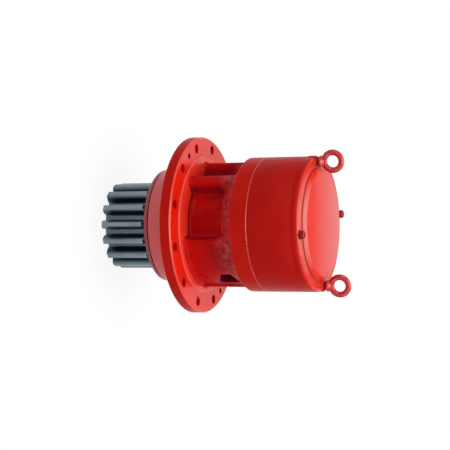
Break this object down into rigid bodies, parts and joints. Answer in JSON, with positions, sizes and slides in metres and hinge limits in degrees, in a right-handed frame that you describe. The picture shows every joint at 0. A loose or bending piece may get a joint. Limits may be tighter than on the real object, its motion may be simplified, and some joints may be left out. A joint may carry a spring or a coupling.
{
  "type": "excavator swing gearbox",
  "caption": "Planetary swing reducer with flanged cast housing, ribbed neck, ring gear drum, lifting eyes and an integral output pinion",
  "frame": {"origin": "on the output shaft axis, in the plane of the flange's mounting face on the pinion side, at the centre of the flange bolt pattern", "axes": "+Z runs along the shaft axis from the pinion to the motor end; +X and +Y lie in the flange face, with the lifting eyes 9 degrees from the X axis"},
  "size_m": [0.4099, 0.41, 0.57],
  "materials": {
    "red_enamel": "gloss alkyd enamel over machined and cast iron",
    "red_enamel_fittings": "gloss enamel over forged steel",
    "gear_steel": "hardened alloy steel, dark blue-grey, oiled",
    "black_oxide_steel": "black oxide",
    "machined_steel": "turned",
    "ground_steel": "ground",
    "bearing_bronze": "machined bronze",
    "nitrile_rubber": "moulded nitrile rubber"
  },
  "bodies": {
    "gearbox_case": {"housing": "red_enamel", "seal_cover": "red_enamel", "seal_cover_screws": "black_oxide_steel", "seal_cover_o_ring": "nitrile_rubber", "oil_seal": "nitrile_rubber", "lower_bearing_outer_ring": "ground_steel", "upper_bearing_outer_ring": "ground_steel", "drain_plug": "black_oxide_steel", "ring_gear": "red_enamel", "ring_gear_o_rings": "nitrile_rubber", "motor_flange": "red_enamel", "dowel_pins": "ground_steel", "drum_cap_screws": "red_enamel_fittings", "eye_bolts": "red_enamel_fittings", "eye_bolt_jam_nuts": "red_enamel_fittings", "input_cover": "red_enamel", "input_cover_o_ring": "nitrile_rubber"},
    "output_shaft_set": {"pinion_shaft": "gear_steel", "lower_bearing_inner_ring": "ground_steel", "upper_bearing_inner_ring": "ground_steel", "bearing_spacer": "machined_steel", "bearing_lock_nut": "black_oxide_steel", "output_carrier": "machined_steel", "carrier_retaining_ring": "black_oxide_steel", "output_planet_pins": "ground_steel", "output_planet_washers": "bearing_bronze"},
    "lower_roller_set": {"lower_bearing_rollers": "ground_steel", "lower_bearing_cage": "machined_steel"},
    "upper_roller_set": {"upper_bearing_rollers": "ground_steel", "upper_bearing_cage": "machined_steel"},
    "output_planet_set_1": {"output_planet_1": "ground_steel", "output_planet_bush_1": "bearing_bronze"},
    "output_planet_set_2": {"output_planet_2": "ground_steel", "output_planet_bush_2": "bearing_bronze"},
    "output_planet_set_3": {"output_planet_3": "ground_steel", "output_planet_bush_3": "bearing_bronze"},
    "output_planet_set_4": {"output_planet_4": "ground_steel", "output_planet_bush_4": "bearing_bronze"},
    "input_carrier_set": {"input_carrier": "machined_steel", "output_sun_gear": "ground_steel", "input_planet_pins": "ground_steel", "input_planet_washers": "bearing_bronze", "input_pin_retaining_rings": "black_oxide_steel"},
    "input_planet_set_1": {"input_planet_1": "ground_steel", "input_planet_bush_1": "bearing_bronze"},
    "input_planet_set_2": {"input_planet_2": "ground_steel", "input_planet_bush_2": "bearing_bronze"},
    "input_planet_set_3": {"input_planet_3": "ground_steel", "input_planet_bush_3": "bearing_bronze"},
    "input_sun_set": {"input_sun_shaft": "ground_steel"}
  },
  "joints": [
    {"name": "output_spin", "type": "hinge", "parent": "gearbox_case", "child": "output_shaft_set", "pos_m": [0, 0, 0], "axis": [0, 0, 1], "continuous": true},
    {"name": "lower_roller_spin", "type": "hinge", "parent": "gearbox_case", "child": "lower_roller_set", "pos_m": [0, 0, 0], "axis": [0, 0, 1], "continuous": true},
    {"name": "upper_roller_spin", "type": "hinge", "parent": "gearbox_case", "child": "upper_roller_set", "pos_m": [0, 0, 0], "axis": [0, 0, 1], "continuous": true},
    {"name": "input_carrier_spin", "type": "hinge", "parent": "gearbox_case", "child": "input_carrier_set", "pos_m": [0, 0, 0], "axis": [0, 0, 1], "continuous": true},
    {"name": "input_spin", "type": "hinge", "parent": "gearbox_case", "child": "input_sun_set", "pos_m": [0, 0, 0], "axis": [0, 0, 1], "continuous": true},
    {"name": "output_planet_spin_1", "type": "hinge", "parent": "output_shaft_set", "child": "output_planet_set_1", "pos_m": [0.084, 0, 0.2115], "axis": [0, 0, 1], "continuous": true},
    {"name": "output_planet_spin_2", "type": "hinge", "parent": "output_shaft_set", "child": "output_planet_set_2", "pos_m": [0, 0.084, 0.2115], "axis": [0, 0, 1], "continuous": true},
    {"name": "output_planet_spin_3", "type": "hinge", "parent": "output_shaft_set", "child": "output_planet_set_3", "pos_m": [-0.084, 0, 0.2115], "axis": [0, 0, 1], "continuous": true},
    {"name": "output_planet_spin_4", "type": "hinge", "parent": "output_shaft_set", "child": "output_planet_set_4", "pos_m": [0, -0.084, 0.2115], "axis": [0, 0, 1], "continuous": true},
    {"name": "input_planet_spin_1", "type": "hinge", "parent": "input_carrier_set", "child": "input_planet_set_1", "pos_m": [0.078, 0, 0.2705], "axis": [0, 0, 1], "continuous": true},
    {"name": "input_planet_spin_2", "type": "hinge", "parent": "input_carrier_set", "child": "input_planet_set_2", "pos_m": [-0.039, 0.06755, 0.2705], "axis": [0, 0, 1], "continuous": true},
    {"name": "input_planet_spin_3", "type": "hinge", "parent": "input_carrier_set", "child": "input_planet_set_3", "pos_m": [-0.039, -0.06755, 0.2705], "axis": [0, 0, 1], "continuous": true}
  ],
  "couplings": [
    {"joint": "lower_roller_spin", "follows": "output_spin", "ratio": 0.439},
    {"joint": "upper_roller_spin", "follows": "output_spin", "ratio": 0.4385},
    {"joint": "input_carrier_spin", "follows": "output_spin", "ratio": 4},
    {"joint": "input_spin", "follows": "output_spin", "ratio": 20.8},
    {"joint": "output_planet_spin_1", "follows": "output_spin", "ratio": -3},
    {"joint": "output_planet_spin_2", "follows": "output_spin", "ratio": -3},
    {"joint": "output_planet_spin_3", "follows": "output_spin", "ratio": -3},
    {"joint": "output_planet_spin_4", "follows": "output_spin", "ratio": -3},
    {"joint": "input_planet_spin_1", "follows": "output_spin", "ratio": -10.5},
    {"joint": "input_planet_spin_2", "follows": "output_spin", "ratio": -10.5},
    {"joint": "input_planet_spin_3", "follows": "output_spin", "ratio": -10.5}
  ]
}
